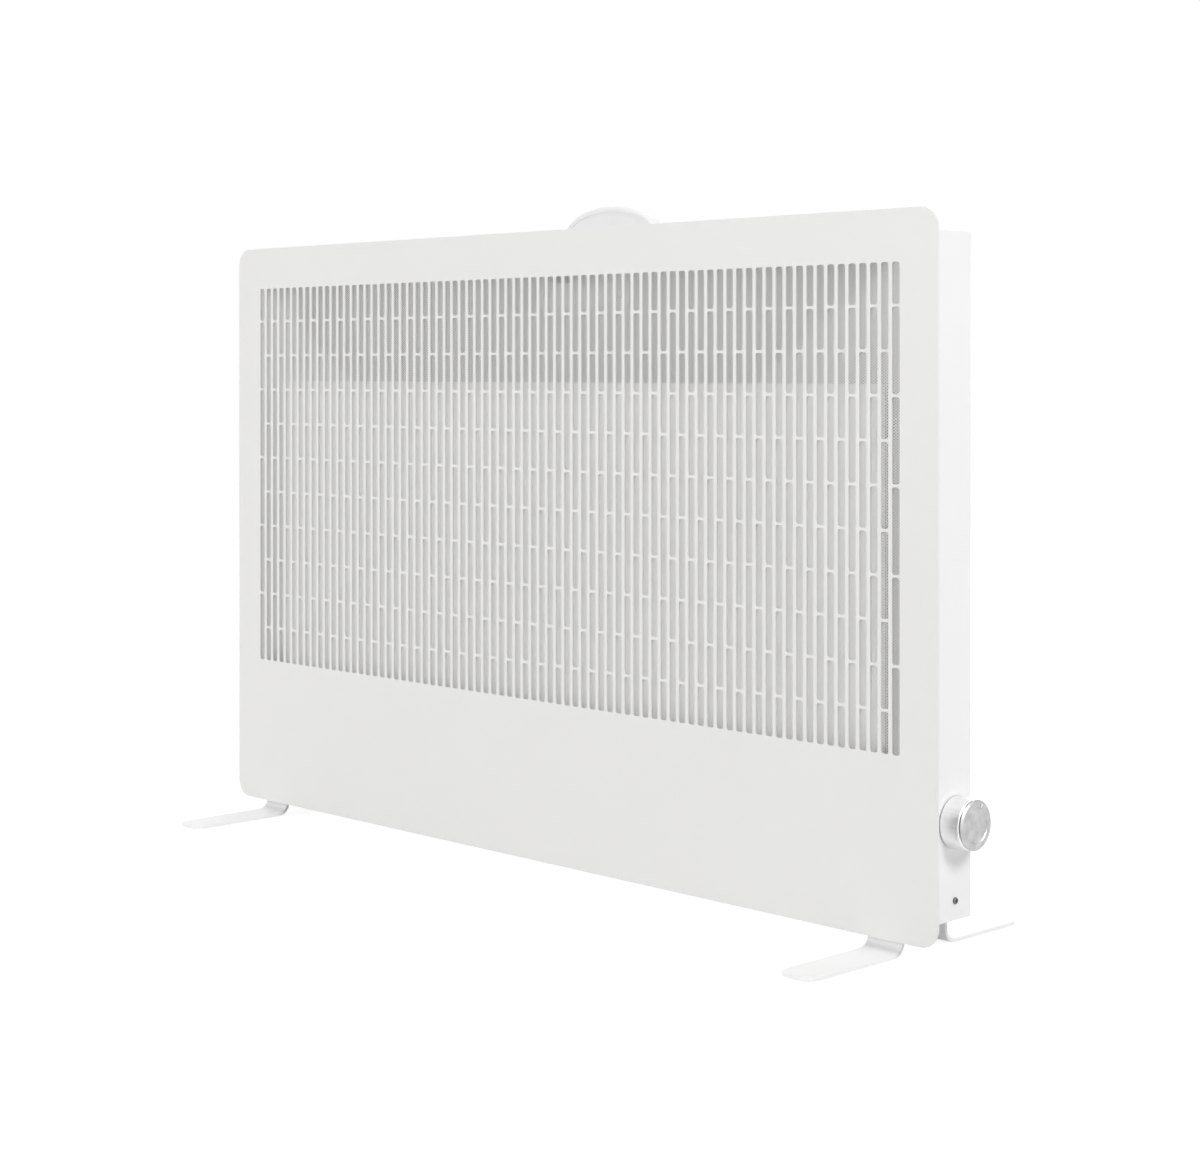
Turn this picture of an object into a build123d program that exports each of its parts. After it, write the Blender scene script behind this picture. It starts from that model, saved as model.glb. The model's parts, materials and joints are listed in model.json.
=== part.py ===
from build123d import *
import os

# Free-standing infrared panel heater: slotted front sheet, shallow steel body, strip feet, side knob.
# Millimetres. +X is the knob side, -Y is the front, +Z is up, Z = 0 is the floor.
# Everything is drawn about the body's own centre line and moved once, at export, so that the
# origin is the bottom centre of the whole heater's box.

# Front sheet
panel_width = 800.0
panel_height = 500.0
panel_thickness = 1.5
panel_corner_radius = 15.0
panel_floor_gap = 12.0
panel_to_body_gap = 5.0

# Slotted field of the front sheet
slot_columns = 77
full_slots_in_column = 5
slot_width = 6.8
slot_bridge = 2.0
first_column_inset = 36.0
field_top_inset = 36.5
field_bottom_inset = 373.0

# Body of folded sheet
body_depth = 50.0
body_inset_side = 15.0
body_inset_top = 15.0
body_inset_bottom = 12.0
sheet = 1.0
lip = 14.0
clearance = 0.5
tolerance = 0.01

# Feet
foot_width = 30.0
foot_inset = 35.0
foot_thickness = 2.5
foot_front_reach = 97.0
foot_rear_reach = 86.0
foot_bend_outer_radius = 11.0
foot_shoulder_inner_radius = 2.0
foot_tip_radius = 10.0
pad_diameter = 18.0
pad_thickness = 1.0
pad_from_tip = 16.0

# Knob and thermostat, on the right side wall
knob_overhang = 4.0
knob_y = 7.0
knob_z = 91.5
knob_wall_gap = 0.8
knob_base_radius = 18.0
knob_rim_radius = 17.5
knob_face_radius = 16.0
knob_face_height = 3.0
knob_dish_radius = 12.4
knob_dish_depth = 0.5
knob_groove = 0.5
pointer_turn_deg = 22.0
pointer_height = 0.4
pointer_width = 1.2
pointer_end_gap = 0.5
shaft_radius = 3.0
shaft_clearance = 0.05
bush_radius = 5.0

# Hand grip at the top of the back
grip_half_width = 54.0
grip_crown_rise = 25.0
grip_crown_base_z = 511.5
grip_bottom_z = 452.0
grip_thickness = 12.0
grip_mid_y = 58.0
grip_lower_radius = 14.0
grip_hole_width = 74.0
grip_hole_top_z = 513.0
grip_hole_bottom_z = 475.0
grip_hole_radius = 14.0
grip_edge_round = 3.0
grip_rim = 5.0
grip_dish_depth = 0.5
grip_arm_width = 22.0
grip_arm_round = 4.0
grip_arm_bite = 3.0
grip_screw_hole_depth = 14.0

# Element stack behind the mesh
plate_width = 692.0
plate_bottom_z = 95.0
plate_top_z = 392.0
plate_front_y = -22.0
plate_thickness = 1.5
mica_thickness = 1.0
foil_thickness = 0.5
foil_strip = 8.0
foil_gap = 4.0
clamp_bar_width = 24.0
clamp_bar_thickness = 1.5
front_bush_length = 5.0
shield_thickness = 0.8
rail_front_y = 18.0
rail_thickness = 1.5
rail_width = 20.0
lower_rail_z = 124.0
upper_rail_z = 363.0

# Derived places
panel_bottom_z = panel_floor_gap
panel_top_z = panel_floor_gap + panel_height
body_front_y = -body_depth / 2
body_rear_y = body_depth / 2
panel_back_y = body_front_y - panel_to_body_gap
body_half_width = panel_width / 2 - body_inset_side
body_bottom_z = panel_bottom_z + body_inset_bottom
body_top_z = panel_top_z - body_inset_top
body_mid_z = (body_bottom_z + body_top_z) / 2
field_top_z = panel_top_z - field_top_inset
field_bottom_z = panel_top_z - field_bottom_inset
column_pitch = (panel_width - 2 * first_column_inset) / (slot_columns - 1)
wall_x = body_half_width
origin_x = knob_overhang / 2
origin_y = (foot_rear_reach - foot_front_reach) / 2


def save(node, shape):
    """Write one node, moved so that the origin is the bottom centre of the heater's box."""
    moved = Pos(-origin_x, -origin_y, 0) * shape
    moved.label = node
    export_step(moved, f"parts/{node}.step")


def group(shapes):
    """Separate equal solids kept together in one node."""
    return Compound(list(shapes))


def upright(y):
    """A drawing plane that faces the front at depth y: local x is X, local y is Z."""
    return Plane(origin=(0, y, 0), x_dir=(1, 0, 0), z_dir=(0, -1, 0))


def block(x0, x1, y0, y1, z0, z1):
    """A box between two corners."""
    return Pos((x0 + x1) / 2, (y0 + y1) / 2, (z0 + z1) / 2) * Box(x1 - x0, y1 - y0, z1 - z0)


def rod(radius, start, end):
    """A round bar along one axis, from one centre to the other."""
    path = Vector(*end) - Vector(*start)
    return extrude(Plane(origin=start, z_dir=path.normalized()) * Circle(radius), path.length)


def ring(radius, bore, start, end):
    """A round tube along one axis."""
    path = Vector(*end) - Vector(*start)
    plane = Plane(origin=start, z_dir=path.normalized())
    return extrude(plane * (Circle(radius) - Circle(bore)), path.length)


def hex_nut(across_flats, bore, start, end):
    """A hexagonal nut along one axis."""
    path = Vector(*end) - Vector(*start)
    plane = Plane(origin=start, z_dir=path.normalized())
    section = RegularPolygon(across_flats / 2, 6, major_radius=False) - Circle(bore)
    return extrude(plane * section, path.length)


def pan_screw(radius, head_radius, head_height, length, seat, direction):
    """A cross-recess pan screw: the seat is under its head, the direction is where its tip points."""
    recess_width = head_radius * 0.32
    recess_length = head_radius * 1.1
    recess_depth = head_height * 0.55
    head_round = head_height * 0.45
    head = Cylinder(head_radius, head_height, align=(Align.CENTER, Align.CENTER, Align.MAX))
    head = fillet(head.edges().group_by(Axis.Z)[0], head_round)
    cross = Box(recess_length, recess_width, recess_depth) + Box(recess_width, recess_length, recess_depth)
    head -= Pos(0, 0, -head_height + recess_depth / 2) * cross
    shank = Cylinder(radius, length, align=(Align.CENTER, Align.CENTER, Align.MIN))
    return Plane(origin=seat, z_dir=direction) * (head + shank)


def upright_sheet(outline, holes, thickness):
    """A flat upright sheet: the outline and the holes are wires drawn on the plane of its back."""
    return extrude(Face(outline, holes), thickness, dir=(0, -1, 0))


def stations(half_span, count):
    """Evenly spaced places from one side to the other."""
    return [-half_span + 2 * half_span * i / (count - 1) for i in range(count)]


# Places of the fasteners that hold the front sheet and the mesh
panel_stud_x = body_half_width - lip / 2
panel_stud_rows = (62.0, 260.0, 452.0)
panel_stud_places = [(s * panel_stud_x, z) for s in (-1, 1) for z in panel_stud_rows]
level_stud_x = 200.0
level_stud_rows = (body_bottom_z + lip / 2, body_top_z - lip / 2)
panel_stud_places += [(s * level_stud_x, z) for s in (-1, 1) for z in level_stud_rows]
mesh_overlap = 8.5
mesh_side_overlap = 5.0
mesh_half_width = panel_width / 2 - first_column_inset + slot_width / 2 + mesh_side_overlap
mesh_bottom_z = field_bottom_z - mesh_overlap
mesh_top_z = field_top_z + mesh_overlap
mesh_rail_height = mesh_overlap - clearance
mesh_stud_rows = (mesh_bottom_z + mesh_rail_height / 2, mesh_top_z - mesh_rail_height / 2)
mesh_stud_columns = stations(340.0, 5)
mesh_stud_places = [(x, z) for z in mesh_stud_rows for x in mesh_stud_columns]
mesh_thickness = 0.8
mesh_rail_thickness = 1.2
panel_stud_radius = 2.0
panel_stud_end = 1.0
panel_spacer_radius = 5.0
panel_nut_flats = 7.0
panel_nut_height = 3.2
mesh_stud_radius = 1.5
mesh_stud_end = 0.4
mesh_nut_flats = 5.5
mesh_nut_height = 2.4


def slot_wires():
    """Outlines of the slots: each column holds full slots and one half slot, at its top or its bottom."""
    periods = full_slots_in_column + 0.5
    period = (field_top_z - field_bottom_z + slot_bridge) / periods
    plane = upright(panel_back_y)
    wires = []
    for column in range(slot_columns):
        x = -panel_width / 2 + first_column_inset + column * column_pitch
        half_first = column % 2 == 0
        heights = [period / 2 if half_first else period]
        heights += [period] * (full_slots_in_column - 1)
        heights += [period if half_first else period / 2]
        top = field_top_z
        for height in heights:
            slot_height = height - slot_bridge
            slot = SlotOverall(slot_height, slot_width, rotation=90)
            wires.append((plane * Pos(x, top - slot_height / 2) * slot).wire())
            top -= height
    return wires


def make_front_panel():
    outline = Pos(0, (panel_bottom_z + panel_top_z) / 2) * RectangleRounded(
        panel_width, panel_height, panel_corner_radius
    )
    return upright_sheet((upright(panel_back_y) * outline).wire(), slot_wires(), panel_thickness)


def make_guard_mesh():
    plane = upright(panel_back_y + mesh_thickness)
    mid_z = (mesh_bottom_z + mesh_top_z) / 2
    outline = (plane * Pos(0, mid_z) * Rectangle(2 * mesh_half_width, mesh_top_z - mesh_bottom_z)).wire()
    holes = [(plane * Pos(x, z) * Circle(mesh_stud_radius)).wire() for x, z in mesh_stud_places]
    return upright_sheet(outline, holes, mesh_thickness)


def make_mesh_rail(stud_z):
    back_y = panel_back_y + mesh_thickness + mesh_rail_thickness
    rail = Pos(0, stud_z) * Rectangle(2 * mesh_half_width, mesh_rail_height)
    for x in mesh_stud_columns:
        rail -= Pos(x, stud_z) * Circle(mesh_stud_radius)
    return extrude(upright(back_y) * rail, mesh_rail_thickness)


def make_mesh_fasteners():
    nut_start = panel_back_y + mesh_thickness + mesh_rail_thickness
    nut_end = nut_start + mesh_nut_height
    studs = []
    nuts = []
    for x, z in mesh_stud_places:
        studs.append(rod(mesh_stud_radius, (x, panel_back_y, z), (x, nut_end + mesh_stud_end, z)))
        nuts.append(hex_nut(mesh_nut_flats, mesh_stud_radius, (x, nut_start, z), (x, nut_end, z)))
    return group(studs), group(nuts)


def make_panel_fasteners():
    nut_start = body_front_y + sheet
    nut_end = nut_start + panel_nut_height
    studs = []
    spacers = []
    nuts = []
    for x, z in panel_stud_places:
        back = (x, panel_back_y, z)
        studs.append(rod(panel_stud_radius, back, (x, nut_end + panel_stud_end, z)))
        spacers.append(ring(panel_spacer_radius, panel_stud_radius, back, (x, body_front_y, z)))
        nuts.append(hex_nut(panel_nut_flats, panel_stud_radius, (x, nut_start, z), (x, nut_end, z)))
    return group(studs), group(spacers), group(nuts)


# Places of the fasteners of the back
rear_lip_y = body_rear_y - 2 * sheet
cover_half_width = body_half_width - sheet - clearance
cover_corner_radius = 2.0
cover_screw_x = body_half_width - sheet - lip / 2
side_screw_rows = (40.0, lower_rail_z, upper_rail_z, 481.0)
cover_screw_places = [(s * cover_screw_x, z) for s in (-1, 1) for z in side_screw_rows]
level_screw_x = 130.0
level_screw_inset = 9.0
level_screw_rows = (body_bottom_z + level_screw_inset, body_top_z - level_screw_inset)
cover_screw_places += [(s * level_screw_x, z) for s in (-1, 1) for z in level_screw_rows]
cover_screw_radius = 1.75
cover_screw_head = (3.4, 2.2)
cover_screw_length = 5.0
side_screw_y = 7.0
side_screw_z = 37.5
side_screw_radius = 1.5
side_screw_head = (2.3, 1.5)
side_screw_length = 6.0
foot_mid_x = panel_width / 2 - foot_inset - foot_width / 2
foot_screw_offset = 11.0
foot_screw_radius = 2.5
foot_screw_head = (4.6, 3.0)
foot_screw_length = 11.0
foot_nut_flats = 8.0
foot_nut_height = 4.0
vent_width = 32.0
vent_depth = 9.0
vent_pitch = 38.0
vents_each_side = 8
vent_rows = (-9.0, 9.0)
first_vent_x = 50.0


def side_channel(side):
    """One folded side of the body: wall, front lip and rear lip. The side is 1 at the knob."""
    outer = side * body_half_width
    inner = outer - side * sheet
    lip_end = outer - side * lip
    z0, z1 = body_bottom_z, body_top_z
    channel = block(min(outer, inner), max(outer, inner), body_front_y, body_rear_y, z0, z1)
    for lip_y in (body_front_y, rear_lip_y):
        channel += block(min(lip_end, inner), max(lip_end, inner), lip_y, lip_y + sheet, z0, z1)
    corner = channel.edges().filter_by(Axis.Z).filter_by(
        lambda e: abs(abs(e.center().X) - body_half_width) < tolerance and e.center().Y < 0
    )
    channel = fillet(corner, sheet * 0.9)
    for x, z in panel_stud_places:
        if x * side > 0 and abs(x) > 300:
            channel -= rod(panel_stud_radius, (x, body_front_y - 1, z), (x, body_front_y + 2, z))
    for x, z in cover_screw_places:
        if x * side > 0 and abs(x) > 300:
            channel -= rod(cover_screw_radius, (x, rear_lip_y - 1, z), (x, rear_lip_y + 2, z))
    screw_start = (inner - side, side_screw_y, side_screw_z)
    screw_end = (outer + side, side_screw_y, side_screw_z)
    channel -= rod(side_screw_radius, screw_start, screw_end)
    if side > 0:
        channel -= rod(bush_radius, (inner - 1, knob_y, knob_z), (outer + 1, knob_y, knob_z))
    return channel


def level_channel(bottom):
    """The folded top or bottom of the body, with a tab at each end against the side walls."""
    tab_height = 25.0 if bottom else 12.0
    up = 1 if bottom else -1
    outer = body_bottom_z if bottom else body_top_z
    inner = outer + up * sheet
    lip_end = outer + up * lip
    half = body_half_width - sheet
    lip_half = body_half_width - lip
    tab_end = outer + up * tab_height
    low, high = min(outer, inner), max(outer, inner)
    channel = block(-half, half, body_front_y + sheet, rear_lip_y, low, high)
    channel += block(-lip_half, lip_half, body_front_y, rear_lip_y + sheet, low, high)
    for lip_y in (body_front_y, rear_lip_y):
        low, high = min(inner, lip_end), max(inner, lip_end)
        channel += block(-lip_half, lip_half, lip_y, lip_y + sheet, low, high)
    for s in (-1, 1):
        x0, x1 = sorted((s * half, s * (half - sheet)))
        low, high = min(inner, tab_end), max(inner, tab_end)
        channel += block(x0, x1, body_front_y + 3, body_rear_y - 5, low, high)
    for x, z in panel_stud_places:
        if (z < body_mid_z) == bottom and abs(x) < 300:
            channel -= rod(panel_stud_radius, (x, body_front_y - 1, z), (x, body_front_y + 2, z))
    for x, z in cover_screw_places:
        if (z < body_mid_z) == bottom and abs(x) < 300:
            channel -= rod(cover_screw_radius, (x, rear_lip_y - 1, z), (x, rear_lip_y + 2, z))
    return channel


def air_slots(z_low, z_high):
    """Cutters for the two rows of air slots on each side of the middle."""
    height = z_high - z_low
    cutters = []
    for s in (-1, 1):
        for row in vent_rows:
            for i in range(vents_each_side):
                x = s * (first_vent_x + i * vent_pitch)
                slot = Pos(x, row, z_low) * SlotOverall(vent_width, vent_depth)
                cutters.append(extrude(slot, height))
    return cutters


def make_top_channel():
    channel = level_channel(bottom=False)
    return channel - air_slots(body_top_z - sheet - 1, body_top_z + 1)


# Electrical pieces on the bottom channel, named by their places
floor_z = body_bottom_z + sheet
terminal_x = 262.0
terminal_y = 2.0
tip_switch_x = 150.0
earth_x = 212.0
earth_radius = 2.0
screw_pair_offset = 17.0
small_screw_radius = 1.5
first_base_vent_x = -260.0
base_vents_in_row = 5


def make_bottom_channel():
    channel = level_channel(bottom=True)
    for s in (-1, 1):
        for y in (-foot_screw_offset, foot_screw_offset):
            x = s * foot_mid_x
            channel -= rod(foot_screw_radius, (x, y, body_bottom_z - 1), (x, y, floor_z + 1))
        channel -= rod(
            side_screw_radius,
            (s * (body_half_width - 3), side_screw_y, side_screw_z),
            (s * body_half_width, side_screw_y, side_screw_z),
        )
        for i in range(base_vents_in_row):
            place = Pos(first_base_vent_x + i * vent_pitch, s * vent_rows[1], body_bottom_z - 1)
            channel -= extrude(place * SlotOverall(vent_width, vent_depth), sheet + 2)
    holes = [(earth_x, earth_radius)]
    for x in (terminal_x, tip_switch_x):
        holes += [(x + s * screw_pair_offset, small_screw_radius) for s in (-1, 1)]
    for x, radius in holes:
        channel -= rod(radius, (x, terminal_y, body_bottom_z - 1), (x, terminal_y, floor_z + 1))
    return channel


# Back plate
gland_x = 300.0
gland_z = 58.0
gland_thread_radius = 6.0
gland_bore_radius = 3.6
louvre_width = 60.0
louvre_height = 4.0
louvre_pitch_x = 76.0
louvre_pitch_z = 10.0
louvre_bank_middles = (100.0, 365.0)
louvre_rows = 4
louvres_each_side = 4
grip_screw_x = grip_half_width - grip_arm_width / 2
grip_screw_z = grip_bottom_z + 11.0
grip_screw_radius = 2.0


def louvre_places():
    """Centres of the air slots of the back plate: a bank of rows low down and one behind the plate's top."""
    places = []
    for middle in louvre_bank_middles:
        for row in range(louvre_rows):
            z = middle + (row - (louvre_rows - 1) / 2) * louvre_pitch_z
            for s in (-1, 1):
                for i in range(louvres_each_side):
                    places.append((s * louvre_pitch_x * (i + 0.5), z))
    return places


def make_rear_cover():
    plane = upright(body_rear_y)
    height = body_top_z - body_bottom_z - 2 * (sheet + clearance)
    cover = RectangleRounded(2 * cover_half_width, height, cover_corner_radius)
    outline = (plane * Pos(0, body_mid_z) * cover).wire()
    shapes = [Pos(x, z) * SlotOverall(louvre_width, louvre_height) for x, z in louvre_places()]
    shapes += [Pos(x, z) * Circle(cover_screw_radius) for x, z in cover_screw_places]
    shapes += [Pos(s * grip_screw_x, grip_screw_z) * Circle(grip_screw_radius) for s in (-1, 1)]
    shapes.append(Pos(gland_x, gland_z) * Circle(gland_thread_radius))
    return upright_sheet(outline, [(plane * shape).wire() for shape in shapes], sheet)


def make_cover_screws():
    size = (cover_screw_radius, *cover_screw_head, cover_screw_length)
    return group(pan_screw(*size, (x, body_rear_y, z), (0, -1, 0)) for x, z in cover_screw_places)


def make_side_screws():
    size = (side_screw_radius, *side_screw_head, side_screw_length)
    return group(pan_screw(*size, (s * wall_x, side_screw_y, side_screw_z), (-s, 0, 0)) for s in (-1, 1))


def make_foot(side):
    """A strip bent into a hat: tail to the front, leg, seat under the body, leg, tail to the rear."""
    under = pad_thickness
    seat_under = body_bottom_z - foot_thickness
    leg = body_depth / 2 - foot_thickness
    front_tip = body_front_y - foot_front_reach
    rear_tip = body_rear_y + foot_rear_reach
    points = [
        (front_tip, under),
        (-leg, under),
        (-leg, seat_under),
        (leg, seat_under),
        (leg, under),
        (rear_tip, under),
    ]
    radii = [foot_bend_outer_radius, foot_shoulder_inner_radius]
    radii += [foot_shoulder_inner_radius, foot_bend_outer_radius]
    plane = Plane(origin=(0, 0, 0), x_dir=(0, 1, 0), z_dir=(1, 0, 0))
    path = FilletPolyline(*points, radius=radii)
    profile = make_face(offset(path, foot_thickness, side=Side.LEFT))
    strip = extrude(plane * profile, foot_width)
    tips = [e for e in strip.edges().filter_by(Axis.Z) if abs(e.center().Y) > body_depth]
    strip = fillet(tips, foot_tip_radius)
    foot = Pos(side * foot_mid_x - foot_width / 2, 0, 0) * strip
    for y in (-foot_screw_offset, foot_screw_offset):
        x = side * foot_mid_x
        foot -= rod(foot_screw_radius, (x, y, seat_under - 1), (x, y, body_bottom_z + 1))
    return foot


def make_foot_fasteners():
    seat_under = body_bottom_z - foot_thickness
    places = [(s * foot_mid_x, y) for s in (-1, 1) for y in (-foot_screw_offset, foot_screw_offset)]
    size = (foot_screw_radius, *foot_screw_head, foot_screw_length)
    screws = []
    nuts = []
    for x, y in places:
        screws.append(pan_screw(*size, (x, y, seat_under), (0, 0, 1)))
        nut_top = (x, y, floor_z + foot_nut_height)
        nuts.append(hex_nut(foot_nut_flats, foot_screw_radius, (x, y, floor_z), nut_top))
    return group(screws), group(nuts)


def make_foot_pads():
    front = body_front_y - foot_front_reach + pad_from_tip
    rear = body_rear_y + foot_rear_reach - pad_from_tip
    pad = Cylinder(pad_diameter / 2, pad_thickness, align=(Align.CENTER, Align.CENTER, Align.MIN))
    return group(Pos(s * foot_mid_x, y, 0) * pad for s in (-1, 1) for y in (front, rear))


# Knob and thermostat
knob_outer_x = panel_width / 2 + knob_overhang
knob_drum_end = knob_outer_x - knob_face_height
drum_start = wall_x + knob_wall_gap
thermostat_depth = 22.0
thermostat_half_y = 15.0
thermostat_half_z = 18.0
thermostat_corner_radius = 2.0
thermostat_rear_wall = 4.0
thermostat_bore_step = 1.0
thermostat_nut_flats = 14.0
bush_seat_depth = 6.0
shaft_seat_depth = 15.0
thermostat_nut_end = wall_x + 2.5
bush_end = wall_x + 4.0
hub_radius = 5.5


def about_knob_axis(profile_points):
    """Turn a closed profile of (distance along X, radius) about the knob's axis."""
    plane = Plane(origin=(0, knob_y, knob_z), x_dir=(1, 0, 0), z_dir=(0, -1, 0))
    face = make_face(plane * Polyline(*profile_points, close=True))
    return revolve(face, Axis((0, knob_y, knob_z), (1, 0, 0)))


def make_knob_drum():
    wall = 2.0
    web = 2.0
    hub_start = bush_end + 0.6
    rim = 0.6
    drum = about_knob_axis(
        [
            (drum_start, knob_base_radius - wall),
            (drum_start, knob_base_radius - rim / 2),
            (drum_start + rim / 2, knob_base_radius),
            (knob_drum_end - rim, knob_rim_radius),
            (knob_drum_end, knob_rim_radius - rim),
            (knob_drum_end, shaft_radius),
            (hub_start, shaft_radius),
            (hub_start, hub_radius),
            (knob_drum_end - web, hub_radius),
            (knob_drum_end - web, knob_rim_radius - wall),
        ]
    )
    return drum


def make_knob_face():
    """Turned face: a dark groove behind it, a polished edge, a flat ring and a shallow dish."""
    ring_x = knob_outer_x - pointer_height
    edge_radius = knob_rim_radius - 0.1
    groove_radius = knob_rim_radius - 1.2
    dish_x = ring_x - knob_dish_depth
    dish_wall = 0.5
    dish_rise = 0.2
    centre_radius = 1.6
    dimple_depth = 0.1
    dimple_radius = 0.9
    return about_knob_axis(
        [
            (knob_drum_end, 0),
            (knob_drum_end, groove_radius),
            (knob_drum_end + knob_groove, groove_radius),
            (knob_drum_end + knob_groove, edge_radius),
            (knob_drum_end + 3 * knob_groove, edge_radius),
            (ring_x, knob_face_radius),
            (ring_x, knob_dish_radius),
            (dish_x, knob_dish_radius - dish_wall),
            (dish_x + dish_rise, centre_radius),
            (dish_x - dimple_depth, dimple_radius),
            (dish_x - dimple_depth, 0),
        ]
    )


def make_knob_pointer():
    length = knob_face_radius - knob_dish_radius - 2 * pointer_end_gap
    middle_radius = (knob_face_radius + knob_dish_radius) / 2
    middle = Pos(knob_outer_x - pointer_height / 2, 0, middle_radius)
    bar = middle * Box(pointer_height, pointer_width, length)
    bar = Rot(-pointer_turn_deg, 0, 0) * bar
    return Pos(0, knob_y, knob_z) * bar


def make_thermostat_body():
    x1 = wall_x - sheet
    x0 = x1 - thermostat_depth
    body = block(
        x0, x1, knob_y - thermostat_half_y, knob_y + thermostat_half_y,
        knob_z - thermostat_half_z, knob_z + thermostat_half_z,
    )
    body = fillet(body.edges().filter_by(Axis.X), thermostat_corner_radius)
    body -= rod(bush_radius, (x1 - bush_seat_depth, knob_y, knob_z), (x1 + 1, knob_y, knob_z))
    bore = bush_radius - thermostat_bore_step
    body -= rod(bore, (x0 + thermostat_rear_wall, knob_y, knob_z), (x1, knob_y, knob_z))
    return body


def make_thermostat_bush():
    start = wall_x - sheet - bush_seat_depth
    bore = shaft_radius + shaft_clearance
    return ring(bush_radius, bore, (start, knob_y, knob_z), (bush_end, knob_y, knob_z))


def make_thermostat_nut():
    nut_end = (thermostat_nut_end, knob_y, knob_z)
    return hex_nut(thermostat_nut_flats, bush_radius, (wall_x, knob_y, knob_z), nut_end)


def make_thermostat_shaft():
    start = wall_x - sheet - shaft_seat_depth
    return rod(shaft_radius, (start, knob_y, knob_z), (knob_drum_end, knob_y, knob_z))


# Hand grip
def grip_outline(inset):
    """The grip seen from the front: straight sides, an elliptic crown and rounded lower corners."""
    half = grip_half_width - inset
    low = grip_bottom_z + inset
    crown = Pos(0, grip_crown_base_z) * Ellipse(half, grip_crown_rise - inset)
    legs = Pos(0, (low + grip_crown_base_z) / 2) * Rectangle(2 * half, grip_crown_base_z - low)
    outline = crown + legs
    corners = outline.vertices().sort_by(Axis.Y)[:2]
    return fillet(corners, grip_lower_radius - inset)


def grip_hole(grow):
    height = grip_hole_top_z - grip_hole_bottom_z + 2 * grow
    middle = (grip_hole_top_z + grip_hole_bottom_z) / 2
    return Pos(0, middle) * RectangleRounded(grip_hole_width + 2 * grow, height, grip_hole_radius + grow)


def make_hand_grip():
    front_y = grip_mid_y - grip_thickness / 2
    rear_y = grip_mid_y + grip_thickness / 2
    loop = extrude(upright(rear_y) * (grip_outline(0) - grip_hole(0)), grip_thickness)
    rims = loop.edges().filter_by(lambda e: e.bounding_box().size.Y < tolerance)
    loop = fillet(rims, grip_edge_round)
    dish = grip_outline(grip_rim) - grip_hole(grip_rim)
    loop -= extrude(upright(front_y + grip_dish_depth) * dish, grip_dish_depth + 1)
    loop -= extrude(upright(rear_y + 1) * dish, grip_dish_depth + 1)
    for s in (-1, 1):
        x0, x1 = sorted((s * grip_half_width, s * (grip_half_width - grip_arm_width)))
        arm_end = front_y + grip_arm_bite
        arm = block(x0, x1, body_rear_y, arm_end, grip_bottom_z, grip_bottom_z + grip_arm_width)
        arm = fillet(arm.edges().filter_by(Axis.Y), grip_arm_round)
        loop += arm
        x = s * grip_screw_x
        hole_end = (x, body_rear_y + grip_screw_hole_depth, grip_screw_z)
        loop -= rod(grip_screw_radius, (x, body_rear_y - 1, grip_screw_z), hole_end)
    return loop


grip_plate_thickness = 1.5
grip_plate_height = 20.0
grip_plate_radius = 4.0
grip_screw_head = (3.8, 2.6)
grip_screw_length = 14.0
grip_seat_y = rear_lip_y + sheet - grip_plate_thickness


def make_grip_plate():
    plate = Pos(0, grip_screw_z) * RectangleRounded(2 * grip_half_width, grip_plate_height, grip_plate_radius)
    for s in (-1, 1):
        plate -= Pos(s * grip_screw_x, grip_screw_z) * Circle(grip_screw_radius)
    return extrude(upright(rear_lip_y + sheet) * plate, grip_plate_thickness)


def make_grip_screws():
    size = (grip_screw_radius, *grip_screw_head, grip_screw_length)
    return group(pan_screw(*size, (s * grip_screw_x, grip_seat_y, grip_screw_z), (0, 1, 0)) for s in (-1, 1))


# Element stack
plate_back_y = plate_front_y + plate_thickness
foil_front_y = plate_back_y + mica_thickness
foil_back_y = foil_front_y + foil_thickness
mica_back_y = foil_back_y + mica_thickness
bar_back_y = mica_back_y + clamp_bar_thickness
shield_front_y = bar_back_y + front_bush_length
shield_back_y = shield_front_y + shield_thickness
rail_back_y = rail_front_y + rail_thickness
outer_bar_x = plate_width / 2 - clamp_bar_width / 2
stack_stud_radius = 2.0
stack_bush_radius = 5.0
stack_stud_end = 3.0
stack_nut_flats = 7.0
stack_nut_height = 2.6
outer_stud_x = outer_bar_x + 6.0
stack_stud_places = [(x, z) for z in (lower_rail_z, upper_rail_z) for x in (-outer_stud_x, 0.0, outer_stud_x)]
mica_inner_x = 6.0
mica_outer_x = outer_bar_x - 2.0
mica_bottom_z = plate_bottom_z + 12.0
mica_top_z = plate_top_z - 12.0
plate_mid_z = (plate_bottom_z + plate_top_z) / 2
plate_fold = 8.0
shield_margin = 6.0
foil_bottom_margin = 14.0
foil_top_margin = 10.0
foil_side_margin = 12.0
foil_tail_length = 20.0


def make_radiant_plate():
    """Pale emitting plate: a flat sheet with a shallow return folded back along its top and bottom."""
    plate = block(
        -plate_width / 2, plate_width / 2, plate_front_y, plate_back_y, plate_bottom_z, plate_top_z
    )
    fold_back_y = plate_back_y + plate_fold
    for z0, z1 in ((plate_bottom_z, plate_bottom_z + sheet), (plate_top_z - sheet, plate_top_z)):
        plate += block(-plate_width / 2, plate_width / 2, plate_back_y, fold_back_y, z0, z1)
    return plate


def make_mica(side, y):
    x0, x1 = sorted((side * mica_inner_x, side * mica_outer_x))
    return block(x0, x1, y, y + mica_thickness, mica_bottom_z, mica_top_z)


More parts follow.
